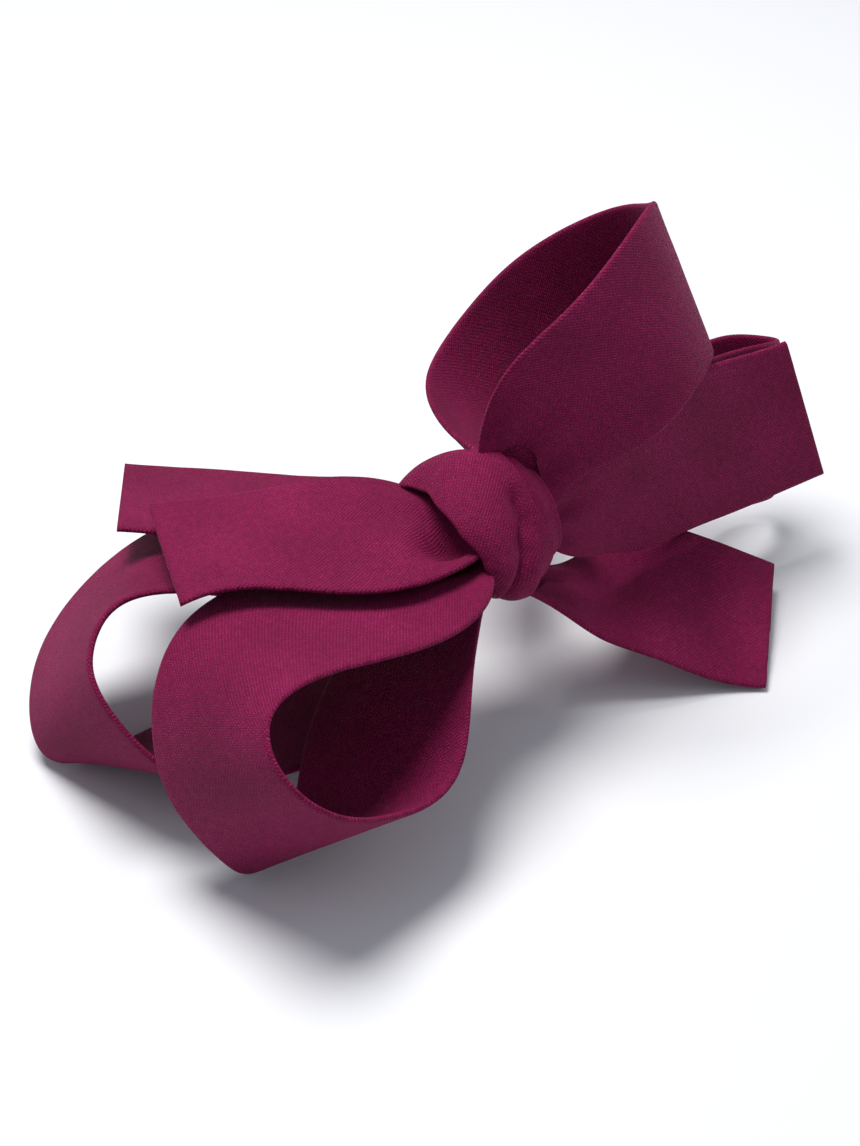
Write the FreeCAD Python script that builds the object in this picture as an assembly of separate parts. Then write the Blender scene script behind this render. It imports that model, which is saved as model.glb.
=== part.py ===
import FreeCAD, Part
import math
import os

# Ribbon hair bow resting on a table, with a small spring clip under its knot.
# Millimetres. +Z is up and the table is the plane z = 0. +X runs along the bow from the
# left loops to the right loops. +Y points to the back. The origin is the middle of the
# bow's footprint on the table. Everything is drawn round a point right below the knot
# and moved to that origin at the end.

Vector = FreeCAD.Vector

# ---- driving dimensions -------------------------------------------------------------
RIBBON_THICKNESS = 1.4          # double ply crepe ribbon
KNOT_HEIGHT = 47.0              # middle of the knot above the table
KNOT_HALF_LENGTH = 9.5          # half the knot's length along X
KNOT_LONG_RADIUS = 17.0         # half the knot's larger thickness
KNOT_SHORT_RADIUS = 12.0        # half the knot's smaller thickness
KNOT_END_SCALE = 0.85           # the knot tapers towards both ends
KNOT_LEFT_TURN = 10.0           # degrees, the flat knot lies nearly level on the left
KNOT_RIGHT_TURN = 70.0          # degrees, and stands nearly upright on the right
LEFT_LAYER_TURN = 5.0           # degrees, how the gathered layers lie at the left face
RIGHT_LAYER_TURN = 70.0         # degrees, the same at the right face

CLIP_LEAN = 30.0                # degrees, the clip's back faces down and this much rearward
CLIP_SEAT = 11.8                # from the knot's middle to its flattened back
PAD_THICKNESS = 1.0
PAD_LENGTH = 18.0
PAD_WIDTH = 9.0
SHEET = 0.8                     # steel sheet of both jaws
CLIP_LEVER_END = -10.0          # finger end of the clip along X
CLIP_TIP = 28.0                 # gripping end of the clip along X
UPPER_JAW_WIDTH = 8.0
LOWER_JAW_WIDTH = 6.0
JAW_GAP = 0.4                   # room for hair between the closed jaws
PIN_RADIUS = 1.0
PIN_DEPTH = 3.4                 # pin axis below the upper jaw's glued face
PIN_HEAD_RADIUS = 1.5
PIN_HEAD_HEIGHT = 0.4
RUNNING_CLEARANCE = 0.05
EAR_RADIUS = 2.4
EAR_SIDE_GAP = 0.2
WIRE_RADIUS = 0.25
COIL_RADIUS = 1.75
COIL_TURNS = 4.5
COIL_PITCH = 0.65
STEPS_PER_TURN = 12

# ---- ribbon rims --------------------------------------------------------------------
# Each pair is (first rim, second rim) at one place along the ribbon. Left pieces list the
# front rim first, right pieces list the lower rim first. The upper right loop ends inside
# the knot and the lower right tail starts inside it, and both are cut off at its surface.
FRONT_LEFT_LOOP = [
    ((-17, -20, 46), (-19, 8, 47)),
    ((-30, -25, 46), (-31, 11, 44)),
    ((-57, -27, 51), (-56, 13, 47)),
    ((-75, -32, 52), (-79, 6, 42)),
    ((-79, -41, 46), (-88, -7, 25)),
    ((-68, -47, 33), (-82, -18, 8)),
    ((-55, -45, 26), (-76, -19, 2)),
    ((-45, -43, 24), (-69, -18, 3)),
    ((-30, -32, 32), (-51, -2, 15)),
    ((-18, -18, 39), (-22, 11, 33)),
]
BACK_LEFT_LOOP = [
    ((-23, -8, 41), (-17, 25, 42)),
    ((-41, 2, 41), (-27, 39, 39)),
    ((-65, 21, 44), (-49, 57, 35)),
    ((-79, 25, 44), (-70, 59, 26)),
    ((-88, 20, 39), (-88, 52, 14)),
    ((-90, 11, 32), (-95, 39, 5)),
    ((-85, 1, 22), (-91, 34, 2)),
    ((-67, -5, 12), (-67, 33, 2)),
    ((-54, -6, 10), (-51, 33, 4)),
    ((-38, -8, 17), (-34, 28, 14)),
    ((-22, -9, 31), (-20, 19, 30)),
]
BACK_LEFT_TAIL = [
    ((-22, -2, 49), (-13, 24, 50)),
    ((-36, 13, 46), (-18, 42, 43)),
    ((-56, 39, 44), (-31, 69, 35)),
    ((-67, 48, 45), (-48, 82, 36)),
]
FRONT_LEFT_TAIL = [
    ((-22, -12, 50), (-15, 16, 54)),
    ((-34, -10, 50), (-21, 23, 54)),
    ((-54, 0, 53), (-39, 36, 51)),
    ((-73, 8, 52), (-60, 46, 50)),
]
UPPER_RIGHT_LOOP = [
    ((14, 9, 42), (5, 19, 55)),
    ((22, 20, 38), (6, 35, 56)),
    ((34, 34, 31), (14, 48, 58)),
    ((48, 43, 31), (29, 56, 63)),
    ((61, 48, 35), (45, 60, 69)),
    ((72, 48, 39), (59, 59, 74)),
    ((78, 42, 46), (67, 53, 79)),
    ((74, 27, 54), (67, 40, 86)),
    ((61, 6, 64), (56, 23, 97)),
    ((50, -3, 66), (43, 11, 102)),
    ((37, -7, 61), (18, 1, 94)),
    ((29, -5, 57), (5, 3, 84)),
    ((20, -3, 54), (1, 7, 72)),
    ((9, -6, 49), (-2, 6, 59)),
]
LOWER_RIGHT_LOOP = [
    ((18, -1, 39), (18, 5, 58)),
    ((28, 1, 35), (30, 7, 60)),
    ((42, 5, 27), (46, 11, 60)),
    ((59, 8, 19), (64, 14, 58)),
    ((74, 11, 15), (79, 17, 55)),
    ((86, 13, 12), (91, 19, 52)),
    ((92, 18, 9), (96, 26, 48)),
    ((87, 23, 9), (91, 31, 48)),
    ((74, 23, 11), (80, 32, 49)),
    ((56, 18, 20), (61, 28, 52)),
    ((37, 11, 34), (41, 19, 55)),
    ((21, 5, 44), (22, 10, 56)),
]
RIGHT_TAIL = [
    ((15, -6, 36), (17, 1, 55)),
    ((25, -3, 31), (29, 2, 59)),
    ((38, 0, 25), (43, 5, 61)),
    ((54, 3, 22), (57, 8, 61)),
    ((69, 5, 20), (69, 10, 59)),
    ((97, 5, 20), (86, 10, 58)),
]
LOWER_RIGHT_TAIL = [
    ((-4, -5, 36), (5, 2, 39)),
    ((9, -9, 26), (14, 1, 30)),
    ((17, -14, 18), (29, 8, 24)),
    ((27, -20, 12), (47, 12, 21)),
    ((38, -26, 5), (63, 4, 15)),
    ((49, -33, 2), (75, -4, 8)),
]

KNOT_CENTRE = Vector(0, 0, KNOT_HEIGHT)
# Middle of the footprint and lowest point, seen from the point below the knot.
FOOTPRINT_MIDDLE = Vector(0.65, 17.33, 0.74)


def knot_end(side, layer, half_width, shift=0.0):
    """Rim pair where a gathered ribbon enters the knot's left (-1) or right (+1) face.

    layer is the distance in front of the knot's middle layer, shift moves the ribbon
    along its own width.
    """
    turn = math.radians(LEFT_LAYER_TURN if side < 0 else RIGHT_LAYER_TURN)
    across = Vector(0, math.cos(turn), math.sin(turn))
    outward = Vector(0, -math.sin(turn), math.cos(turn))
    middle = KNOT_CENTRE + Vector(side * KNOT_HALF_LENGTH, 0, 0) + outward * layer
    return (middle + across * (shift - half_width), middle + across * (shift + half_width))


def at_knot(point):
    return abs(abs(point.x) - KNOT_HALF_LENGTH) < 1e-6


def section_normals(first, second):
    """Unit normal of the ribbon at each rim pair."""
    middles = [(a + b) * 0.5 for a, b in zip(first, second)]
    last = len(middles) - 1
    normals = []
    for i in range(last + 1):
        along = middles[min(i + 1, last)] - middles[max(i - 1, 0)]
        if at_knot(first[i]):
            # The ribbon leaves and enters the knot's face squarely.
            leaving = 1 if i == 0 else -1
            along = Vector(math.copysign(leaving, leaving * first[i].x), 0, 0)
        normals.append(along.cross(second[i] - first[i]).normalize())
    return normals


def distances_along(points):
    """Running distance along a chain of points."""
    total = [0.0]
    for a, b in zip(points, points[1:]):
        total.append(total[-1] + (b - a).Length)
    return total


def smooth_curve(points, parameters):
    curve = Part.BSplineCurve()
    curve.interpolate(Points=points, Parameters=parameters)
    return curve


def face_between(first, second):
    """Face swept by straight lines between two curves that share their knots."""
    surface = Part.BSplineSurface()
    surface.buildFromPolesMultsKnots([first.getPoles(), second.getPoles()],
                                     [2, 2], first.getMultiplicities(),
                                     [0, 1], first.getKnots(),
                                     False, False, 1, first.Degree)
    return surface.toShape()


def closed_solid(faces):
    shell = Part.Shell(faces)
    shell.sewShape()
    solid = Part.Solid(shell)
    if solid.Volume < 0:
        solid.reverse()
    return solid


def ruled_bar(corners, parameters):
    """Closed solid of a long bar whose corner lines run smoothly through given points."""
    curves = [smooth_curve(points, parameters) for points in corners]
    count = len(curves)
    faces = [face_between(curves[i], curves[(i + 1) % count]) for i in range(count)]
    for end in (0, -1):
        outline = [points[end] for points in corners]
        faces.append(Part.Face(Part.makePolygon(outline + outline[:1])))
    return closed_solid(faces)


def ribbon(pairs):
    """Closed solid of a flat ribbon that follows the rim pairs."""
    first = [Vector(*a) for a, _ in pairs]
    second = [Vector(*b) for _, b in pairs]
    halves = [n * (RIBBON_THICKNESS / 2) for n in section_normals(first, second)]
    parameters = distances_along([(a + b) * 0.5 for a, b in zip(first, second)])
    corners = [
        [a + half for a, half in zip(first, halves)],
        [b + half for b, half in zip(second, halves)],
        [b - half for b, half in zip(second, halves)],
        [a - half for a, half in zip(first, halves)],
    ]
    return ruled_bar(corners, parameters)


def knot():
    """Wrapped knot: oval sections that turn from level to upright, flat where the pad sits."""
    sections = []
    for step in (-1.0, -0.8, -0.4, 0.0, 0.4, 0.8, 1.0):
        share = (step + 1) / 2
        turn = KNOT_LEFT_TURN + (KNOT_RIGHT_TURN - KNOT_LEFT_TURN) * share
        scale = KNOT_END_SCALE if abs(step) == 1.0 else 1.0
        oval = Part.Ellipse(Vector(0, 0, 0), KNOT_LONG_RADIUS * scale, KNOT_SHORT_RADIUS * scale)
        wire = Part.Wire([oval.toShape()])
        # Stand the oval up across X with its long side along Y, then turn it about X.
        wire.rotate(Vector(0, 0, 0), Vector(1, 1, 1), 120)
        wire.rotate(Vector(0, 0, 0), Vector(1, 0, 0), turn)
        wire.translate(KNOT_CENTRE + Vector(step * KNOT_HALF_LENGTH, 0, 0))
        sections.append(wire)
    body = Part.makeLoft(sections, True, True)
    reach = 4 * KNOT_LONG_RADIUS
    behind = Part.makeBox(reach, reach, reach, Vector(-reach / 2, -reach / 2, 0))
    return body.cut(to_clip_frame(behind, CLIP_SEAT))


def to_clip_frame(shape, distance):
    """Place a shape drawn with its glued face at z = 0 and its depth along +z.

    distance is how far that face lies from the knot's middle.
    """
    placed = shape.copy()
    turn = FreeCAD.Rotation(Vector(1, 0, 0), 180 + CLIP_LEAN)
    seat = KNOT_CENTRE + turn.multVec(Vector(0, 0, distance))
    placed.Placement = FreeCAD.Placement(seat, turn).multiply(placed.Placement)
    return placed


def pad():
    """Felt pad glued between the knot and the clip."""
    return Part.makeBox(PAD_LENGTH, PAD_WIDTH, PAD_THICKNESS,
                        Vector(-PAD_LENGTH / 2, -PAD_WIDTH / 2, 0))


def sheet_plate(start, end, width, depth):
    """Flat jaw plate along x with a half round tip at its far end."""
    half = width / 2
    straight = Part.makeBox(end - half - start, width, SHEET, Vector(start, -half, depth))
    tip = Part.makeCylinder(half, SHEET, Vector(end - half, 0, depth), Vector(0, 0, 1))
    return straight.fuse(tip).removeSplitter()


def ear(inner, hole_radius, foot):
    """One ear beside the pin: a disc round the pin joined to foot, with the pin hole."""
    axis = Vector(0, 1, 0)
    disc = Part.makeCylinder(EAR_RADIUS, SHEET, Vector(0, inner, PIN_DEPTH), axis)
    hole = Part.makeCylinder(hole_radius, SHEET, Vector(0, inner, PIN_DEPTH), axis)
    return disc.fuse(foot).cut(hole)


def mirrored_pair(shape):
    return [shape, shape.mirror(Vector(0, 0, 0), Vector(0, 1, 0))]


def fuse_all(shapes):
    return shapes[0].multiFuse(shapes[1:]).removeSplitter()


def upper_jaw():
    """Glued jaw: flat plate with two ears that hold the pin."""
    plate = sheet_plate(CLIP_LEVER_END, CLIP_TIP, UPPER_JAW_WIDTH, 0)
    inner = UPPER_JAW_WIDTH / 2 - SHEET
    foot = Part.makeBox(2 * EAR_RADIUS, SHEET, PIN_DEPTH, Vector(-EAR_RADIUS, inner, 0))
    return fuse_all([plate] + mirrored_pair(ear(inner, PIN_RADIUS, foot)))


def lower_jaw():
    """Moving jaw: gripping plate, two ears inside the upper ones, and a finger lever."""
    depth = SHEET + JAW_GAP
    outer = UPPER_JAW_WIDTH / 2 - SHEET - EAR_SIDE_GAP
    inner = outer - SHEET
    half = LOWER_JAW_WIDTH / 2

    beak_start = 4.0
    beak = sheet_plate(beak_start, CLIP_TIP - 0.5, LOWER_JAW_WIDTH, depth)
    beak_rail = Part.makeBox(beak_start + 1.5, SHEET, 1.4, Vector(0, inner, depth))

    lever_root = Vector(-3.0, 0, 5.9)
    lever_end = Vector(CLIP_LEVER_END, 0, 7.4)
    thickness = Vector(0, 0, SHEET)
    lever_side = Part.makePolygon([lever_root, lever_end, lever_end + thickness,
                                   lever_root + thickness, lever_root])
    lever_side.translate(Vector(0, -half, 0))
    lever = Part.Face(lever_side).extrude(Vector(0, LOWER_JAW_WIDTH, 0))
    lever_rail = Part.makeBox(4.6, SHEET, 3.1, Vector(-4.6, inner, 3.4))

    foot = beak_rail.fuse(lever_rail)
    ears = mirrored_pair(ear(inner, PIN_RADIUS + RUNNING_CLEARANCE, foot))
    return fuse_all([beak, lever] + ears)


def pin():
    """Riveted pin with a flat head on each side."""
    axis = Vector(0, 1, 0)
    half = UPPER_JAW_WIDTH / 2
    shaft = Part.makeCylinder(PIN_RADIUS, 2 * half, Vector(0, -half, PIN_DEPTH), axis)
    near = Part.makeCylinder(PIN_HEAD_RADIUS, PIN_HEAD_HEIGHT,
                             Vector(0, -half - PIN_HEAD_HEIGHT, PIN_DEPTH), axis)
    far = Part.makeCylinder(PIN_HEAD_RADIUS, PIN_HEAD_HEIGHT, Vector(0, half, PIN_DEPTH), axis)
    return fuse_all([shaft, near, far])


def spring():
    """Torsion spring: a leg on the upper jaw, a coil round the pin, a leg under the lever."""
    half = COIL_TURNS * COIL_PITCH / 2
    steps = round(COIL_TURNS * STEPS_PER_TURN)
    leg_end = Vector(-8.0, -half, SHEET + WIRE_RADIUS + 0.05)
    coil_start = Vector(0, -half, PIN_DEPTH - COIL_RADIUS)
    coil_end = Vector(0, half, PIN_DEPTH + COIL_RADIUS)
    lever_leg_end = Vector(-8.0, half, 5.9)

    path = [leg_end, leg_end * 0.67 + coil_start * 0.33, leg_end * 0.33 + coil_start * 0.67]
    for i in range(steps + 1):
        turn = 2 * math.pi * i / STEPS_PER_TURN
        path.append(Vector(COIL_RADIUS * math.sin(turn), half * (2 * i / steps - 1),
                           PIN_DEPTH - COIL_RADIUS * math.cos(turn)))
    path += [coil_end * 0.67 + lever_leg_end * 0.33, coil_end * 0.33 + lever_leg_end * 0.67,
             lever_leg_end]
    return wire_along(path, Vector(0, 1, 0))


def wire_along(path, axis):
    """Eight sided wire along a path whose bends all turn about one axis."""
    last = len(path) - 1
    outward = [axis.cross(path[min(i + 1, last)] - path[max(i - 1, 0)]).normalize()
               for i in range(last + 1)]
    parameters = distances_along(path)
    corners = []
    for side in range(8):
        angle = math.pi * side / 4
        corners.append([point + normal * (WIRE_RADIUS * math.cos(angle))
                        + axis * (WIRE_RADIUS * math.sin(angle))
                        for point, normal in zip(path, outward)])
    return ruled_bar(corners, parameters)


def loop(side, start, pairs, end):
    return ribbon([knot_end(side, *start)] + pairs + [knot_end(side, *end)])


def tail(side, start, pairs):
    return ribbon([knot_end(side, *start)] + pairs)


def outside_knot(shape):
    """What is left of a ribbon that runs into the knot's side."""
    return max(shape.cut(knot()).Solids, key=lambda solid: solid.Volume)


def upper_right_loop():
    """Loop whose back strip enters the knot's right face and whose front strip its top."""
    return outside_knot(ribbon([knot_end(1, -4.0, 9, 1.5)] + UPPER_RIGHT_LOOP))


def all_parts():
    """Every node name with its solid."""
    left, right = -1, 1
    clip_seat = CLIP_SEAT + PAD_THICKNESS
    return {
        "front_left_tail": tail(left, (5.4, 10), FRONT_LEFT_TAIL),
        "back_left_tail": tail(left, (3.2, 10), BACK_LEFT_TAIL),
        "front_left_loop": loop(left, (1.0, 10), FRONT_LEFT_LOOP, (-3.8, 10)),
        "back_left_loop": loop(left, (-1.4, 10), BACK_LEFT_LOOP, (-6.4, 10)),
        "upper_right_loop": upper_right_loop(),
        "right_tail": tail(right, (2.6, 6.5, -2), RIGHT_TAIL),
        "lower_right_loop": loop(right, (0.4, 9, 1.5), LOWER_RIGHT_LOOP, (-1.8, 9, 1.5)),
        "lower_right_tail": outside_knot(ribbon(LOWER_RIGHT_TAIL)),
        "knot_wrap": knot(),
        "felt_pad": to_clip_frame(pad(), CLIP_SEAT),
        "clip_upper_jaw": to_clip_frame(upper_jaw(), clip_seat),
        "clip_lower_jaw": to_clip_frame(lower_jaw(), clip_seat),
        "clip_pin": to_clip_frame(pin(), clip_seat),
        "clip_spring": to_clip_frame(spring(), clip_seat),
    }


os.makedirs("parts", exist_ok=True)
for name, shape in all_parts().items():
    solid = shape.Solids[0]
    solid.translate(FOOTPRINT_MIDDLE * -1)
    print(name, "valid" if solid.isValid() else "INVALID", "volume %.1f" % solid.Volume)
    solid.exportStep("parts/" + name + ".step")
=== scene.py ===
import math

import bmesh
import bpy
import numpy as np
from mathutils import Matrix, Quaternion, Vector, noise
from mathutils.bvhtree import BVHTree


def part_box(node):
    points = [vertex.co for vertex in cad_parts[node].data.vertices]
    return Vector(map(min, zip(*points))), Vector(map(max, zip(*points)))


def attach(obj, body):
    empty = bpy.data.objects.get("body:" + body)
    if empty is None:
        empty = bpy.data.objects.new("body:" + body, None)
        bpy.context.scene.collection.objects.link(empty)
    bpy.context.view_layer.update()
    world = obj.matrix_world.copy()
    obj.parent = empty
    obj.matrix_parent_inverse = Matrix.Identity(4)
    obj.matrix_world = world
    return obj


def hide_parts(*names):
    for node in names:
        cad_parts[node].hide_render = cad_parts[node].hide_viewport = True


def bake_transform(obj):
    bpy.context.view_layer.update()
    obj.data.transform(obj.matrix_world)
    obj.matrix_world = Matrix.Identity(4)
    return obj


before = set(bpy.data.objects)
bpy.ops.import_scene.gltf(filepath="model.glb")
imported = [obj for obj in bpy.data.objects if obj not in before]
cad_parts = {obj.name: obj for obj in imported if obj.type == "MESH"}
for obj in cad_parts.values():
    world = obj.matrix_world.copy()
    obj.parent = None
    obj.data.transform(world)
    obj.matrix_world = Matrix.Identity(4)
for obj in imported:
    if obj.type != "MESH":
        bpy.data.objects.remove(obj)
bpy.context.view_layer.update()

# Looks of a burgundy crepe ribbon hair bow. Lengths in this script are in millimetres and
# turned into metres by MM. Every ribbon is rebuilt on the shape of its own CAD node.
MM = 0.001

# ---- ribbon -------------------------------------------------------------------------
RIBBON_THICKNESS = 1.4
RIBBON_HALF_WIDTH = 20.0
EDGE_ROUNDING = 1.2             # how far the folded edge's rounding reaches in
STEP_ALONG = 1.1                # grid spacing along a ribbon
COLUMNS = 33                    # grid columns between the two rounded edges
INNER_SHARE = 1 - EDGE_ROUNDING / RIBBON_HALF_WIDTH
EDGE_COLUMNS = (0.35, 0.65, 0.88, 1.0)  # shares of the rounding where it has a column
HIDDEN_END = 4.0                # how far a ribbon runs on inside the knot
HIDDEN_SHRINK = 0.75            # and how far its width is gathered there
WEAVE_SHIFT = 11.0              # shift of the weave from one ribbon to the next
SLACK_HEIGHT = 0.28             # slow waves of the soft cloth
SLACK_LENGTH = 26.0
SLACK_START = 14.0              # the cloth is held tight nearer to the knot than this
RIPPLE_HEIGHT = 0.07            # small ripples of the soft cloth
RIPPLE_LENGTH = 6.0
GATHER_HEIGHT = 0.55            # pleats where the ribbon is squeezed by the knot
GATHER_REACH = 17.0
LOOP_END_GAP = 30.0             # a loop's two ends lie closer together than this
HOLLOW_DEPTH = 6.5              # dent of the left ribbons in front of the knot
HOLLOW_PLACE = (-15.5, -2.5)    # its middle from the knot's middle, along X and Y
HOLLOW_REACH = (5.5, 5.0)

LEFT_PIECES = ("front_left_tail", "back_left_tail", "front_left_loop", "back_left_loop")
RIGHT_PIECES = ("upper_right_loop", "right_tail", "lower_right_loop", "lower_right_tail")

# ---- knot ---------------------------------------------------------------------------
KNOT_HALF_HEIGHT = 16.2         # the CAD knot's top above its middle
PAD_SEAT = 11.8                 # from the knot's middle to its flat seat for the pad
PAD_LEAN = 30.0                 # degrees, the seat faces down and this much rearward
ROLL_CROWN = 0.9                # how far each roll of the knot bulges

knot_low, knot_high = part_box("knot_wrap")


def knot_centre():
    """Middle of the knot: the ribbons' stacks are centred on it and the top is not cut."""
    middle = (knot_low + knot_high) / 2
    height = knot_high.z - KNOT_HALF_HEIGHT * MM
    return Vector((middle.x, middle.y, height))


CENTRE = knot_centre()


# ---- reading a CAD ribbon -----------------------------------------------------------
def mesh_islands(node):
    """Each smooth face of a CAD node as (points, triangles)."""
    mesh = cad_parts[node].data
    points = np.array([v.co for v in mesh.vertices], float)
    parent = list(range(len(points)))

    def root(i):
        while parent[i] != i:
            parent[i] = parent[parent[i]]
            i = parent[i]
        return i

    for polygon in mesh.polygons:
        first = root(polygon.vertices[0])
        for vertex in polygon.vertices[1:]:
            parent[root(vertex)] = first
    groups = {}
    for polygon in mesh.polygons:
        groups.setdefault(root(polygon.vertices[0]), []).append(tuple(polygon.vertices))
    islands = []
    for triangles in groups.values():
        used = sorted({i for t in triangles for i in t})
        place = {old: new for new, old in enumerate(used)}
        islands.append((points[used], [tuple(place[i] for i in t) for t in triangles]))
    return islands


def area(island):
    points, triangles = island
    corners = points[np.array(triangles)]
    edges_a = corners[:, 1] - corners[:, 0]
    edges_b = corners[:, 2] - corners[:, 0]
    return float(np.linalg.norm(np.cross(edges_a, edges_b), axis=1).sum() / 2)


def border(triangles):
    """The island's border as one closed chain of point numbers."""
    count = {}
    for a, b, c in triangles:
        for edge in ((a, b), (b, c), (c, a)):
            key = tuple(sorted(edge))
            count[key] = count.get(key, 0) + 1
    links = {}
    for (a, b), uses in count.items():
        if uses == 1:
            links.setdefault(a, []).append(b)
            links.setdefault(b, []).append(a)
    start = next(iter(links))
    chain = [start]
    before, here = None, start
    while True:
        onward = [i for i in links[here] if i != before]
        before, here = here, onward[0]
        if here == start:
            return chain
        chain.append(here)


def long_sides(island, cap_points):
    """The two long border lines of a narrow edge face, cut at the corners it shares with the caps."""
    points, triangles = island
    chain = border(triangles)
    corner = [np.linalg.norm(cap_points - points[i], axis=1).min() < 1e-7 for i in chain]
    first = corner.index(True)
    chain = chain[first:] + chain[:first] + [chain[first]]
    corner = corner[first:] + corner[:first] + [True]
    sides = []
    side = [chain[0]]
    for i, is_corner in zip(chain[1:], corner[1:]):
        side.append(i)
        if is_corner:
            sides.append(points[side])
            side = [i]
    sides.sort(key=line_length)
    return sides[-2:]


def line_length(line):
    return float(np.linalg.norm(np.diff(line, axis=0), axis=1).sum())


def closest_on_line(point, line):
    starts = line[:-1]
    runs = line[1:] - starts
    share = ((point - starts) * runs).sum(1) / np.maximum((runs * runs).sum(1), 1e-18)
    feet = starts + runs * np.clip(share, 0, 1)[:, None]
    return feet[np.linalg.norm(feet - point, axis=1).argmin()]


def middle_line(sides, start_cap):
    """Line half way between two long sides, starting at the cap given."""
    line = np.array([(p + closest_on_line(p, sides[1])) / 2 for p in sides[0]])
    to_start = np.linalg.norm(start_cap - line[0], axis=1).min()
    to_end = np.linalg.norm(start_cap - line[-1], axis=1).min()
    return line if to_start < to_end else line[::-1]


def resample(line, count):
    """Evenly spaced points on a line."""
    steps = np.concatenate([[0], np.cumsum(np.linalg.norm(np.diff(line, axis=0), axis=1))])
    wanted = np.linspace(0, steps[-1], count)
    return np.stack([np.interp(wanted, steps, line[:, k]) for k in range(3)], axis=1)


def end_caps(islands):
    """Points of a ribbon's two ends: small faces that share a point are one end."""
    ends = [points for points, _ in islands]
    while len(ends) > 2:
        gaps = [(np.linalg.norm(a[:, None] - b[None], axis=2).min(), i, j)
                for i, a in enumerate(ends) for j, b in enumerate(ends) if i < j]
        _, i, j = min(gaps)
        ends[i] = np.concatenate([ends[i], ends.pop(j)])
    return ends


def read_ribbon(node):
    """Rim lines, surface trees and end facts of one CAD ribbon."""
    islands = sorted(mesh_islands(node), key=area, reverse=True)
    wide, narrow = islands[:2], islands[2:4]
    caps = end_caps(islands[4:])
    centre = np.array(CENTRE)
    outward = np.array((0, -1, 1))
    # A tail starts at its end in the knot, a loop starts at its outer layer.
    if np.linalg.norm(caps[0].mean(0) - caps[1].mean(0)) > LOOP_END_GAP * MM:
        caps.sort(key=lambda c: np.linalg.norm(c.mean(0) - centre))
        is_loop = False
    else:
        caps.sort(key=lambda c: -(c.mean(0) @ outward))
        is_loop = True
    both = np.concatenate(caps)
    rims = [middle_line(long_sides(island, both), caps[0]) for island in narrow]
    rims.sort(key=lambda line: line[0] @ np.array((0, 1, 1)))
    trees = [BVHTree.FromPolygons([Vector(p) for p in points], triangles)
             for points, triangles in wide]
    return rims, trees, is_loop


# ---- shaping the cloth --------------------------------------------------------------
def soft_noise(point, length, seed):
    """Smooth noise between about -1 and 1 whose waves are as long as stated."""
    return noise.noise(Vector(point) / (length * MM) + Vector((seed * 7.3, seed * 3.1, seed * 5.7)))


def column_shares():
    """Positions across the ribbon from -1 to 1, with the rounding's columns near both edges."""
    edge = [INNER_SHARE + (1 - INNER_SHARE) * share for share in EDGE_COLUMNS]
    middle = list(np.linspace(-INNER_SHARE, INNER_SHARE, COLUMNS))
    return np.array([-u for u in reversed(edge)] + middle + edge)


def edge_profile(shares):
    """Thickness share across the ribbon, round at both folded edges."""
    reach = np.clip((np.abs(shares) - INNER_SHARE) / (1 - INNER_SHARE), 0, 1)
    return np.sqrt(1 - reach * reach)


def hollow(point):
    """How far the left ribbons sink at a point, because the knot pulls their middle down."""
    x, y, _ = (np.array(point) - np.array(CENTRE)) / MM
    away_x = (x - HOLLOW_PLACE[0]) / HOLLOW_REACH[0]
    away_y = (y - HOLLOW_PLACE[1]) / HOLLOW_REACH[1]
    return HOLLOW_DEPTH * math.exp(-away_x ** 2 - away_y ** 2)


def middle_surface(rims, trees, shares):
    """Grid of points half way between the ribbon's two wide faces, and its unit normals."""
    rows = int(max(line_length(rim) for rim in rims) / (STEP_ALONG * MM))
    first, second = (resample(rim, rows) for rim in rims)
    middles = np.zeros((rows, len(shares), 3))
    normals = np.zeros((rows, len(shares), 3))
    for i in range(rows):
        for j, u in enumerate(shares):
            guess = Vector(first[i] * (1 - u) / 2 + second[i] * (1 + u) / 2)
            one = trees[0].find_nearest(guess)[0]
            other = trees[1].find_nearest(guess)[0]
            middles[i, j] = (one + other) / 2
            normals[i, j] = (one - other).normalized()
    front_and_up = Vector((0, -1, 1))
    if Vector(normals[0, len(shares) // 2]).dot(front_and_up) < 0:
        normals = -normals
    return middles, normals


def running_length(line):
    """Distance in millimetres from the line's start to each of its points."""
    return np.concatenate([[0], np.cumsum(np.linalg.norm(np.diff(line, axis=0), axis=1))]) / MM


def pleats(share):
    """Height share of the folds that squeeze the ribbon together, flat at both edges."""
    folds = math.cos(math.pi * (2.6 * share + 0.4)) - 0.6 * math.cos(math.pi * 1.3 * share)
    return folds * (1 - share * share)


def drape(node, middles, normals, along, is_loop, shares, seed):
    """Move the middle surface: pleats at the knot, slack further out, the hollow on the left."""
    total = along[-1]
    for i, travelled in enumerate(along):
        from_knot = min(travelled, total - travelled) if is_loop else travelled
        gather = math.exp(-(from_knot / GATHER_REACH) ** 2)
        loose = 1 - math.exp(-(from_knot / SLACK_START) ** 2)
        for j, u in enumerate(shares):
            point = middles[i, j].copy()
            lift = GATHER_HEIGHT * gather * pleats(u)
            lift += SLACK_HEIGHT * loose * soft_noise(point, SLACK_LENGTH, seed)
            lift += RIPPLE_HEIGHT * loose * soft_noise(point, RIPPLE_LENGTH, seed + 5)
            middles[i, j] += normals[i, j] * lift * MM
            if node in LEFT_PIECES:
                middles[i, j, 2] -= hollow(point) * MM


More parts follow.
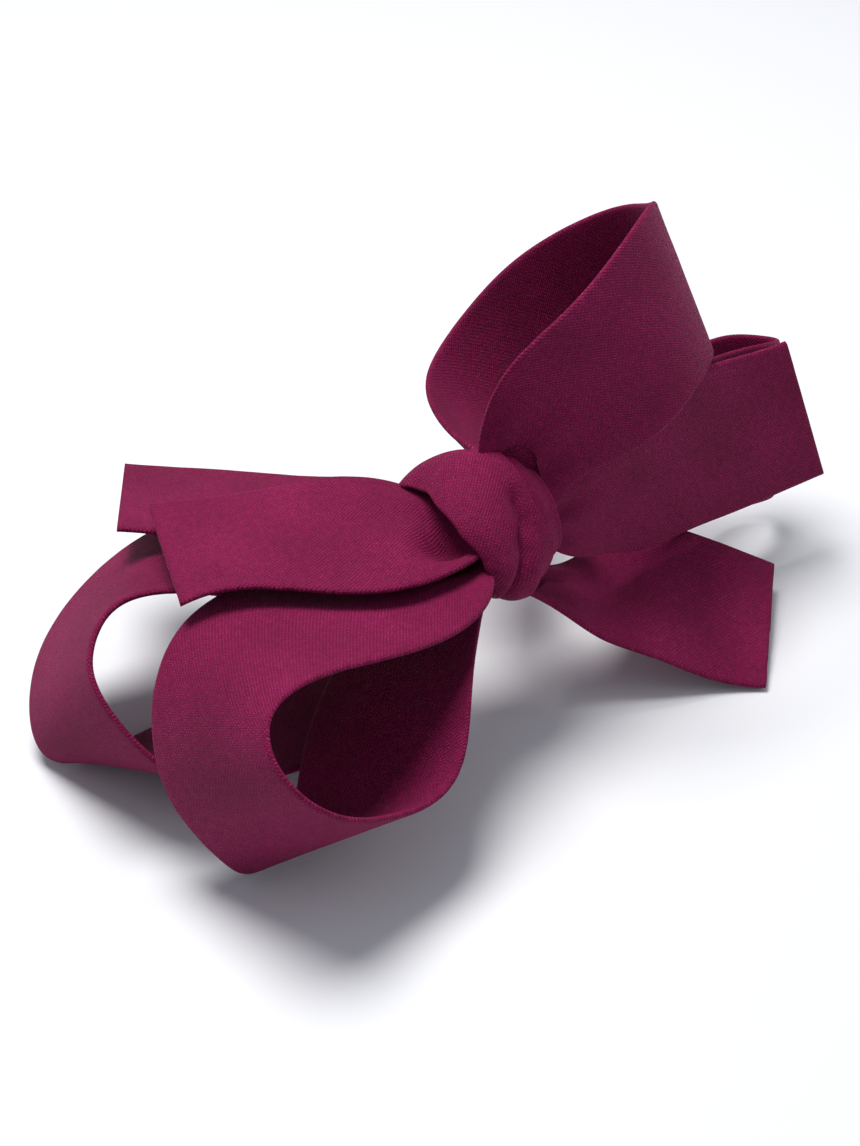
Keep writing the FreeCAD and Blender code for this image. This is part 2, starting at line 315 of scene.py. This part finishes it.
def build_ribbon(node, seed):
    """Ribbon mesh on the middle surface of its CAD node, with round edges, gathers and slack."""
    rims, trees, is_loop = read_ribbon(node)
    shares = column_shares()
    middles, normals = middle_surface(rims, trees, shares)
    along = running_length(middles[:, len(shares) // 2])
    drape(node, middles, normals, along, is_loop, shares, seed)

    half = edge_profile(shares)[None, :, None] * normals * RIBBON_THICKNESS / 2 * MM
    top = middles + half
    bottom = middles - half
    across = running_length(middles[len(middles) // 2])

    # The hidden ends run on into the knot.
    ends = [(0, 1)] + ([(-1, -2)] if is_loop else [])
    points_top, points_bottom, run = list(top), list(bottom), list(along)
    for end, inside in ends:
        run_on = (middles[end] - middles[inside]).mean(0)
        run_on = run_on / np.linalg.norm(run_on) * HIDDEN_END * MM
        centre = middles[end].mean(0)
        hidden_top = centre + (top[end] - centre) * HIDDEN_SHRINK + run_on
        hidden_bottom = centre + (bottom[end] - centre) * HIDDEN_SHRINK + run_on
        if end == 0:
            points_top.insert(0, hidden_top)
            points_bottom.insert(0, hidden_bottom)
            run.insert(0, -HIDDEN_END)
        else:
            points_top.append(hidden_top)
            points_bottom.append(hidden_bottom)
            run.append(run[-1] + HIDDEN_END)
    return ring_mesh(node + "_cloth", np.array(points_top), np.array(points_bottom), across,
                     np.array(run), seed)


def ring_mesh(name, top, bottom, across, run, seed):
    """Closed mesh of a strip from its two sides, with a UV map in millimetres of cloth."""
    rows, columns = top.shape[:2]
    ring = list(range(columns)) + list(range(columns - 2, 0, -1))
    size = len(ring)
    points = []
    cloth = []
    for i in range(rows):
        for k, j in enumerate(ring):
            points.append((top if k < columns else bottom)[i, j])
            cloth.append((across[j] + seed * WEAVE_SHIFT, run[i]))
    faces = []
    for i in range(rows - 1):
        for k in range(size):
            nxt = (k + 1) % size
            faces.append((i * size + k, i * size + nxt, (i + 1) * size + nxt, (i + 1) * size + k))
    for i in (0, rows - 1):
        for j in range(columns - 1):
            low_a = (size - j) % size
            low_b = size - j - 1 if j < columns - 2 else j + 1
            corners = [i * size + j, i * size + j + 1, i * size + low_b, i * size + low_a]
            corners = list(dict.fromkeys(corners))
            faces.append(tuple(corners if i == 0 else reversed(corners)))
    return mesh_object(name, points, faces, cloth)


def mesh_object(name, points, faces, cloth):
    """Smooth shaded mesh object with a UV map given per point."""
    mesh = bpy.data.meshes.new(name)
    mesh.from_pydata([tuple(p) for p in points], [], faces)
    layer = mesh.uv_layers.new(name="cloth")
    for loop in mesh.loops:
        layer.data[loop.index].uv = cloth[loop.vertex_index]
    mesh.validate()
    piece = bpy.data.objects.new(name, mesh)
    bpy.context.scene.collection.objects.link(piece)
    fix_normals(mesh)
    for polygon in mesh.polygons:
        polygon.use_smooth = True
    return piece


def fix_normals(mesh):
    work = bmesh.new()
    work.from_mesh(mesh)
    bmesh.ops.recalc_face_normals(work, faces=work.faces)
    work.to_mesh(mesh)
    work.free()


# ---- knot ---------------------------------------------------------------------------
def smooth_step(value):
    value = min(1.0, max(0.0, value))
    return value * value * (3 - 2 * value)


def curve_at(stops, value):
    """Smooth value between (place, value) stops."""
    for (a, va), (b, vb) in zip(stops, stops[1:]):
        if value <= b:
            return va + (vb - va) * smooth_step((value - a) / (b - a))
    return stops[-1][1]


# Angles run round the knot: 0 is its back, 90 its top, 180 its front, 270 its underside.
# Each list holds (angle, millimetres).
LEFT_FOLD = [(0, -13.0), (20, -15.8), (50, -14.4), (88, -15.6), (130, -15.6), (168, -13.4),
             (200, -11.2), (230, -9.8), (300, -9.5), (360, -13.0)]
LEFT_LIP = [(0, 14.5), (20, 17.4), (50, 11.4), (88, 9.4), (130, 10.4), (168, 12.2),
            (200, 13.0), (240, 12.0), (300, 11.0), (330, 12.0), (360, 14.5)]
RIGHT_FOLD = 9.0                # the right fold runs straight round
RIGHT_LIP = [(0, 10.0), (90, 10.4), (180, 10.4), (250, 10.8), (360, 10.0)]
CREASE = [(0, -1.0), (85, -0.6), (109, -0.8), (141, -1.4), (170, -3.2), (206, -8.0),
          (235, -8.2), (300, -4.0), (360, -1.0)]
CREASE_DEPTH = [(0, 0.8), (80, 0.1), (100, 0.4), (125, 2.9), (195, 3.0), (230, 1.6), (360, 0.8)]
CREASE_WIDTH = 1.5
OVERLAP = [(0, 2.5), (85, 2.5), (126, 2.3), (156, 3.3), (190, 5.0), (240, 6.0), (300, 5.0),
           (360, 2.5)]
OVERLAP_STEP = [(0, 1.4), (150, 1.7), (175, 0.9), (200, 0.3), (250, 0.3), (360, 1.4)]
SWELL = [(0, 0.6), (60, 0.6), (120, 0.0), (170, -0.6), (215, -2.0), (260, -2.0), (310, -0.5),
         (360, 0.6)]

# The oval's long and short radius and its turn in degrees, by place along the knot.
LONG_RADIUS = [(-15.0, 18.6), (-2.0, 17.6), (4.0, 14.8), (8.0, 12.0)]
SHORT_RADIUS = [(-15.0, 12.0), (-2.0, 12.6), (4.0, 12.4), (8.0, 11.4)]
OVAL_TURN = [(-15.0, 16.0), (-2.0, 38.0), (8.0, 66.0)]

# Millimetres over which the rolls draw in towards each lip.
LEFT_LIP_REACH = 6.5
RIGHT_LIP_REACH = 3.5
KNOT_TURN_STEPS = 400
KNOT_LENGTH_STEPS = 130
KNOT_WEAVE_RADIUS = 15.0        # radius at which the knot's weave has its true size
LEFT_HUB = -4.0                 # where the inner walls of the knot's open ends meet its axis
RIGHT_HUB = 3.0

# Inside of a folded lip: (inward from the edge, below the lip).
FOLDED_LIP = [(0.25, -0.3), (0.0, -0.85), (0.3, -1.4), (1.0, -1.8), (3.0, -2.4), (5.5, -3.0)]
LIP_START = 0.8


def oval_radius(angle, x):
    """Distance from the knot's axis to its plain oval."""
    a = math.radians(angle - curve_at(OVAL_TURN, x))
    return 1 / math.hypot(math.cos(a) / curve_at(LONG_RADIUS, x),
                          math.sin(a) / curve_at(SHORT_RADIUS, x))


def knot_relief(angle, x, left, right):
    """How far the wound cloth stands proud of the oval."""
    crease = curve_at(CREASE, angle)
    start, end = (left, crease) if x < crease else (crease, right)
    place = (2 * x - start - end) / (end - start)
    height = curve_at(SWELL, angle) + ROLL_CROWN * (1 - place * place)
    height -= curve_at(CREASE_DEPTH, angle) * math.exp(-math.hypot(x - crease, 0.3) / CREASE_WIDTH)
    # The second roll lies over a third one and ends in a folded edge.
    height -= curve_at(OVERLAP_STEP, angle) * smooth_step((x - curve_at(OVERLAP, angle)) / 0.6)
    return height


def knot_radius(angle, x, left, right):
    """Radius of the knot's outside, drawn in towards both lips."""
    radius = oval_radius(angle, x) + knot_relief(angle, x, left, right)
    for edge, reach, lip in ((x - left, LEFT_LIP_REACH, curve_at(LEFT_LIP, angle)),
                             (right - x, RIGHT_LIP_REACH, curve_at(RIGHT_LIP, angle))):
        away = 1 - min(1.0, max(0.0, edge / reach))
        radius = lip + (radius - lip) * math.sqrt(1 - away * away)
    return radius


def flatten_for_pad(point):
    """Keep a point of the knot above the flat seat of the felt pad."""
    lean = math.radians(PAD_LEAN)
    facing = Vector((0, math.sin(lean), -math.cos(lean)))
    beyond = (point - CENTRE).dot(facing) - PAD_SEAT * MM
    return point - facing * max(0.0, beyond)


def build_knot():
    """Closed mesh of the wound knot: rolls outside, a folded lip and an inner wall at each end."""
    turns = KNOT_TURN_STEPS
    points = []
    cloth = []
    for t in range(turns):
        angle = 360.0 * t / turns
        a = math.radians(angle)
        radial = Vector((0, math.cos(a), math.sin(a)))
        left = curve_at(LEFT_FOLD, angle)
        right = RIGHT_FOLD
        left_rim = knot_radius(angle, left + LIP_START, left, right)
        right_rim = knot_radius(angle, right - LIP_START, left, right)
        profile = [(left + dx, left_rim + drop) for dx, drop in reversed(FOLDED_LIP)]
        for k in range(KNOT_LENGTH_STEPS + 1):
            x = left + LIP_START + (right - left - 2 * LIP_START) * k / KNOT_LENGTH_STEPS
            profile.append((x, knot_radius(angle, x, left, right)))
        profile += [(right - dx, right_rim + drop) for dx, drop in FOLDED_LIP]
        travelled = 0.0
        previous = None
        for x, radius in profile:
            point = CENTRE + (Vector((x, 0, 0)) + radial * radius) * MM
            slack = 0.07 * soft_noise(point, 5.0, 3) + 0.22 * soft_noise(point, 13.0, 9)
            point = flatten_for_pad(point + radial * slack * MM)
            if previous is not None:
                travelled += (point - previous).length / MM
            previous = point
            points.append(point)
            cloth.append((travelled, a * KNOT_WEAVE_RADIUS))
    size = len(points) // turns
    faces = []
    for t in range(turns):
        nxt = (t + 1) % turns
        for k in range(size - 1):
            faces.append((t * size + k, nxt * size + k, nxt * size + k + 1, t * size + k + 1))
    for k, x in ((0, LEFT_HUB), (size - 1, RIGHT_HUB)):
        hub = len(points)
        points.append(CENTRE + Vector((x, 0, 0)) * MM)
        cloth.append((0.0, 0.0))
        for t in range(turns):
            nxt = (t + 1) % turns
            faces.append((hub, nxt * size + k, t * size + k))
    return mesh_object("knot_cloth", points, faces, cloth)


# ---- materials ----------------------------------------------------------------------
class Nodes:
    """Small helper that builds one material's node tree."""

    def __init__(self, name):
        self.material = bpy.data.materials.new(name)
        self.material.use_nodes = True
        self.tree = self.material.node_tree
        self.shader = self.tree.nodes["Principled BSDF"]

    def add(self, kind, **settings):
        node = self.tree.nodes.new(kind)
        for key, value in settings.items():
            setattr(node, key, value)
        return node

    def link(self, source, target):
        if isinstance(source, (int, float)):
            target.default_value = source
        else:
            self.tree.links.new(source, target)

    def math(self, operation, a, b=0.0):
        node = self.add("ShaderNodeMath", operation=operation)
        self.link(a, node.inputs[0])
        self.link(b, node.inputs[1])
        return node.outputs[0]

    def noise(self, vector, scale, detail=3.0):
        node = self.add("ShaderNodeTexNoise")
        self.link(vector, node.inputs["Vector"])
        node.inputs["Scale"].default_value = scale
        node.inputs["Detail"].default_value = detail
        return node.outputs["Fac"]

    def ramp(self, value, stops):
        node = self.add("ShaderNodeValToRGB")
        self.link(value, node.inputs["Fac"])
        elements = node.color_ramp.elements
        while len(elements) < len(stops):
            elements.new(0.5)
        for element, (place, colour) in zip(elements, stops):
            element.position = place
            element.color = (*colour, 1)
        return node.outputs["Color"]

    def bump(self, height, strength, distance):
        """Bump of the shader's normal, distance in millimetres."""
        node = self.add("ShaderNodeBump")
        node.inputs["Strength"].default_value = strength
        node.inputs["Distance"].default_value = distance * MM
        self.link(height, node.inputs["Height"])
        self.link(node.outputs["Normal"], self.shader.inputs["Normal"])


RIB_PITCH = 0.62                # diagonal ribs of the crepe


def ribbon_material():
    """Matt crepe: fine diagonal ribs crossed by yarn grain, painted shade in the furrows and painted
    highlights on the raised tops, soft sheen.
    """
    n = Nodes("crepe_cloth")
    uv = n.add("ShaderNodeUVMap", uv_map="cloth").outputs["UV"]
    parts = n.add("ShaderNodeSeparateXYZ")
    n.link(uv, parts.inputs[0])
    across, along = parts.outputs["X"], parts.outputs["Y"]
    wander = n.math("MULTIPLY", n.noise(uv, 0.8), 2.6)
    turn = 2 * math.pi / (RIB_PITCH * math.sqrt(2))
    rib_place = n.math("ADD", n.math("MULTIPLY", n.math("ADD", across, along), turn), wander)
    ribs = n.math("SINE", rib_place)
    yarn_place = n.math("MULTIPLY", n.math("SUBTRACT", across, along), turn * 0.85)
    yarns = n.math("SINE", n.math("ADD", yarn_place, n.math("MULTIPLY", wander, 1.7)))
    grain = n.noise(uv, 2.4, 3.0)
    height = n.math("ADD", n.math("MULTIPLY", ribs, 0.26), n.math("MULTIPLY", yarns, 0.10))
    height = n.math("ADD", height, n.math("MULTIPLY", n.math("MULTIPLY", ribs, yarns), 0.20))
    height = n.math("ADD", height, n.math("MULTIPLY", grain, 2.0))

    n.bump(height, 0.9, 0.16)

    patches = n.noise(uv, 0.045, 4.0)
    fine = n.noise(uv, 0.6, 3.0)
    # Base colour follows the weave's height (ribs, yarns and grain), so it holds painted shade in the
    # furrows and painted highlights on the raised tops; the two noises add the cloth's own uneven
    # tone.
    tone = n.math("ADD", n.math("MULTIPLY", height, 0.30), n.math("MULTIPLY", patches, 0.30))
    tone = n.math("ADD", tone, n.math("MULTIPLY", fine, 0.25))
    colour = n.ramp(tone, [(0.3, (0.065, 0.0012, 0.016)), (0.65, (0.20, 0.0055, 0.056)),
                           (0.95, (0.46, 0.032, 0.16))])
    n.link(colour, n.shader.inputs["Base Color"])
    rough = n.math("ADD", n.math("MULTIPLY", grain, 0.2), 0.62)
    n.link(rough, n.shader.inputs["Roughness"])
    n.shader.inputs["Specular IOR Level"].default_value = 0.12
    n.shader.inputs["Sheen Weight"].default_value = 0.12
    n.shader.inputs["Sheen Roughness"].default_value = 0.4
    n.shader.inputs["Sheen Tint"].default_value = (0.9, 0.2, 0.45, 1)
    return n.material


def felt_material():
    """Matt felt: fine fibres in soft clumps."""
    n = Nodes("felt_pad_cloth")
    place = n.add("ShaderNodeTexCoord").outputs["Object"]
    fibres = n.noise(place, 2600.0, 6.0)
    clumps = n.noise(place, 420.0, 3.0)
    tone = n.math("ADD", n.math("MULTIPLY", fibres, 0.6), n.math("MULTIPLY", clumps, 0.4))
    n.link(n.ramp(tone, [(0.3, (0.05, 0.004, 0.018)), (0.75, (0.13, 0.012, 0.045))]),
           n.shader.inputs["Base Color"])
    n.bump(tone, 0.7, 0.15)
    n.shader.inputs["Roughness"].default_value = 0.95
    n.shader.inputs["Sheen Weight"].default_value = 0.4
    return n.material


def steel_material(name, tint, roughness):
    """Nickel plated steel: drawn grain, faint smudges and duller worn patches."""
    n = Nodes(name)
    place = n.add("ShaderNodeTexCoord").outputs["Object"]
    stretch = n.add("ShaderNodeMapping")
    n.link(place, stretch.inputs["Vector"])
    stretch.inputs["Scale"].default_value = (60, 900, 900)
    grain = n.noise(stretch.outputs["Vector"], 3.0, 4.0)
    smudge = n.noise(place, 260.0, 4.0)
    n.link(n.ramp(smudge, [(0.25, tuple(0.8 * c for c in tint)), (0.7, tint)]),
           n.shader.inputs["Base Color"])
    rough = n.math("ADD", n.math("MULTIPLY", smudge, 0.22), roughness)
    n.link(n.math("ADD", rough, n.math("MULTIPLY", grain, 0.08)), n.shader.inputs["Roughness"])
    n.bump(grain, 0.25, 0.02)
    n.shader.inputs["Metallic"].default_value = 1.0
    return n.material


def floor_material():
    n = Nodes("pale_floor")
    n.shader.inputs["Base Color"].default_value = (0.77, 0.78, 0.81, 1)
    n.shader.inputs["Roughness"].default_value = 0.55
    return n.material


def give_material(obj, material):
    obj.data.materials.clear()
    obj.data.materials.append(material)


# ---- pieces -------------------------------------------------------------------------
cloth_material = ribbon_material()
for number, node_name in enumerate(LEFT_PIECES + RIGHT_PIECES):
    strip = build_ribbon(node_name, number + 1)
    give_material(strip, cloth_material)
    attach(strip, "bow")
    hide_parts(node_name)

knot_piece = build_knot()
give_material(knot_piece, cloth_material)
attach(knot_piece, "bow")
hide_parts("knot_wrap")


def build_spring():
    """Copy of the CAD spring, baked in place; on the real clip it winds up along the pin as the clip
    opens.
    """
    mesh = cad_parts["clip_spring"].data.copy()
    spring = bpy.data.objects.new("spring_wire", mesh)
    bpy.context.scene.collection.objects.link(spring)
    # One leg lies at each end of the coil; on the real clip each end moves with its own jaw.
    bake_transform(spring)
    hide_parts("clip_spring")
    return spring


clip_steel = steel_material("clip_plate_steel", (0.72, 0.71, 0.68), 0.22)
wire_steel = steel_material("spring_wire_steel", (0.5, 0.49, 0.47), 0.3)
felt = felt_material()
for name, material in (("clip_upper_jaw", clip_steel), ("clip_lower_jaw", clip_steel),
                       ("clip_pin", clip_steel), ("felt_pad", felt)):
    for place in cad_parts[name].material_slots:
        place.material = material
give_material(build_spring(), wire_steel)


# ---- floor, light and camera --------------------------------------------------------
FLOOR_HALF_SIDE = 3.0           # metres, as are the places and sizes of the lights


def build_floor():
    half = FLOOR_HALF_SIDE
    mesh = bpy.data.meshes.new("floor")
    mesh.from_pydata([(-half, -half, 0), (half, -half, 0), (half, half, 0), (-half, half, 0)],
                     [], [(0, 1, 2, 3)])
    floor = bpy.data.objects.new("floor", mesh)
    bpy.context.scene.collection.objects.link(floor)
    give_material(floor, floor_material())


def area_light(name, place, target, size, power, colour):
    light = bpy.data.lights.new(name, "AREA")
    light.shape = "DISK"
    light.size = size
    light.energy = power
    light.color = colour
    lamp = bpy.data.objects.new(name, light)
    lamp.location = place
    lamp.rotation_euler = (Vector(target) - Vector(place)).to_track_quat("-Z", "Y").to_euler()
    bpy.context.scene.collection.objects.link(lamp)


def build_world():
    world = bpy.data.worlds.new("studio")
    bpy.context.scene.world = world
    world.use_nodes = True
    background = world.node_tree.nodes["Background"]
    background.inputs["Color"].default_value = (0.85, 0.92, 1.0, 1)
    background.inputs["Strength"].default_value = 0.34


CAMERA_DISTANCE = 520.0         # from the knot
CAMERA_ELEVATION = 35.0         # degrees above the table
CAMERA_SIDE = 35.0              # degrees left of the front
AIM_LEFT = 1.67                 # degrees that the aim lies left of the knot
AIM_BELOW = 1.12                # and below it
SENSOR_WIDTH = 36
FOCAL_LENGTH = 76.8


def build_camera():
    """Camera in front, to the left and above, aimed a little left of and below the knot."""
    elevation, side = math.radians(CAMERA_ELEVATION), math.radians(CAMERA_SIDE)
    forward = Vector((math.cos(elevation) * math.sin(side), math.cos(elevation) * math.cos(side),
                      -math.sin(elevation)))
    data = bpy.data.cameras.new("camera")
    data.sensor_width = SENSOR_WIDTH
    data.lens = FOCAL_LENGTH
    camera = bpy.data.objects.new("camera", data)
    camera.location = CENTRE - forward * CAMERA_DISTANCE * MM
    at_knot = forward.to_track_quat("-Z", "Y")
    left_of_knot = Quaternion((0, 1, 0), math.radians(AIM_LEFT))
    below_knot = Quaternion((1, 0, 0), math.radians(-AIM_BELOW))
    camera.rotation_euler = (at_knot @ left_of_knot @ below_knot).to_euler()
    bpy.context.scene.collection.objects.link(camera)
    bpy.context.scene.camera = camera


build_floor()
build_world()
area_light("key", (-0.06, 0.26, 0.95), (0, 0, 0.03), 0.5, 11.2, (1.0, 0.98, 0.96))
area_light("fill", (0.6, -0.6, 0.7), (0, 0, 0.03), 0.8, 1.2, (0.95, 0.97, 1.0))
build_camera()
bpy.context.scene.view_settings.view_transform = "Standard"
